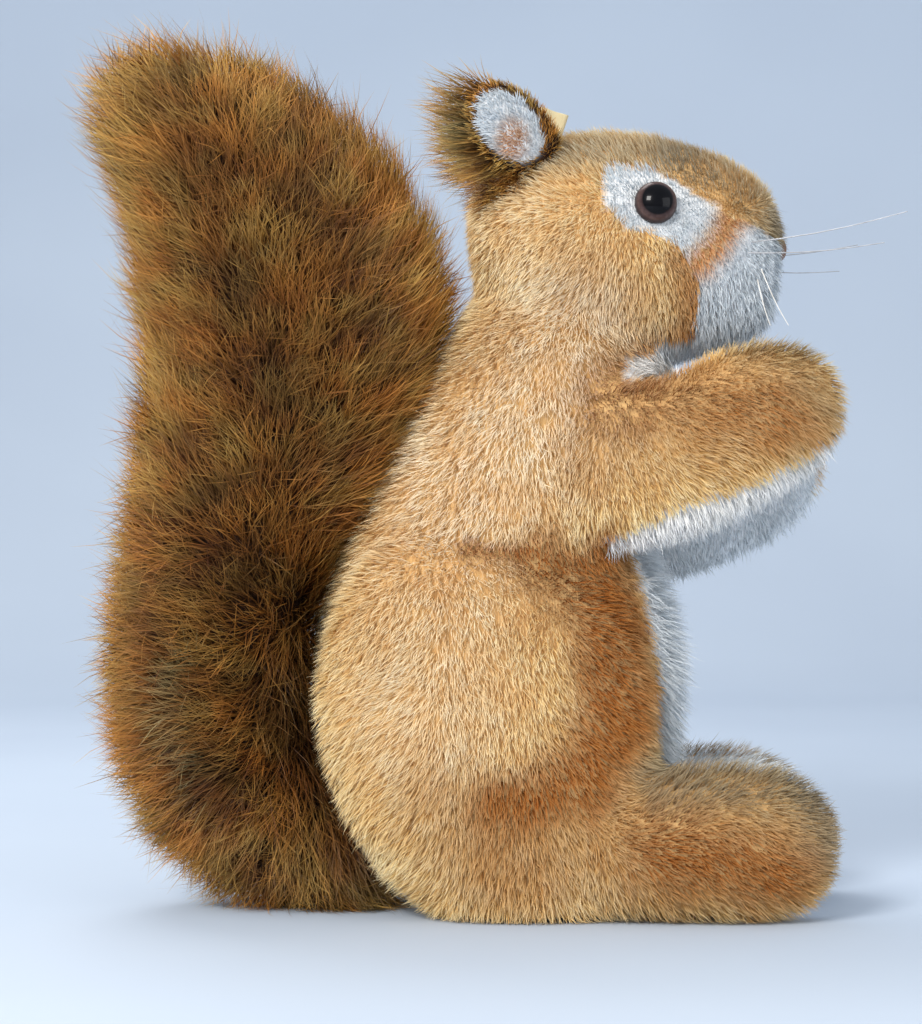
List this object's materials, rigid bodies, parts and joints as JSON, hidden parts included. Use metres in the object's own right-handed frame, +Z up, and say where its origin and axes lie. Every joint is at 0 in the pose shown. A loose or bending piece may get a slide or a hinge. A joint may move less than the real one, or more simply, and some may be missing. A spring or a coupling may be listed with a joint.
{
  "type": "plush squirrel",
  "caption": "Sitting plush squirrel of tan, white and brown pile fabric, with domed plastic eyes, stiff whiskers, forward paws and a tall brush tail.",
  "frame": {"origin": "middle of the flat seat under the rump, on the surface the toy sits on", "axes": "+X forward, the way the squirrel faces; +Y to its left; +Z up"},
  "size_m": [0.2213, 0.0898, 0.2431],
  "materials": {
    "plush_tan": "short woven pile, airbrushed rust in places",
    "plush_white": "short white pile",
    "plush_brown": "long brown pile with golden tips",
    "eye_plastic": "polished dome, brown ring and black pupil",
    "washer_plastic": "as moulded",
    "nose_thread": "satin-stitched thread",
    "whisker_nylon": "drawn monofilament",
    "label_tape": "plain woven cotton tape, no print"
  },
  "bodies": {
    "root": {"torso": "plush_tan", "belly_panel": "plush_white", "head": "plush_tan", "muzzle_panel": "plush_white", "nose": "nose_thread", "ear_label": "label_tape", "tail": "plush_brown", "eye_patch_right": "plush_white", "eye_right": "eye_plastic", "eye_washer_right": "washer_plastic", "ear_back_right": "plush_brown", "ear_lining_right": "plush_white", "arm_right": "plush_tan", "arm_lining_right": "plush_white", "leg_right": "plush_tan", "foot_lining_right": "plush_white", "whisker_right_1": "whisker_nylon", "whisker_right_2": "whisker_nylon", "whisker_right_3": "whisker_nylon", "whisker_right_4": "whisker_nylon", "eye_patch_left": "plush_white", "eye_left": "eye_plastic", "eye_washer_left": "washer_plastic", "ear_back_left": "plush_brown", "ear_lining_left": "plush_white", "arm_left": "plush_tan", "arm_lining_left": "plush_white", "leg_left": "plush_tan", "foot_lining_left": "plush_white", "whisker_left_1": "whisker_nylon", "whisker_left_2": "whisker_nylon", "whisker_left_3": "whisker_nylon", "whisker_left_4": "whisker_nylon"}
  },
  "joints": []
}
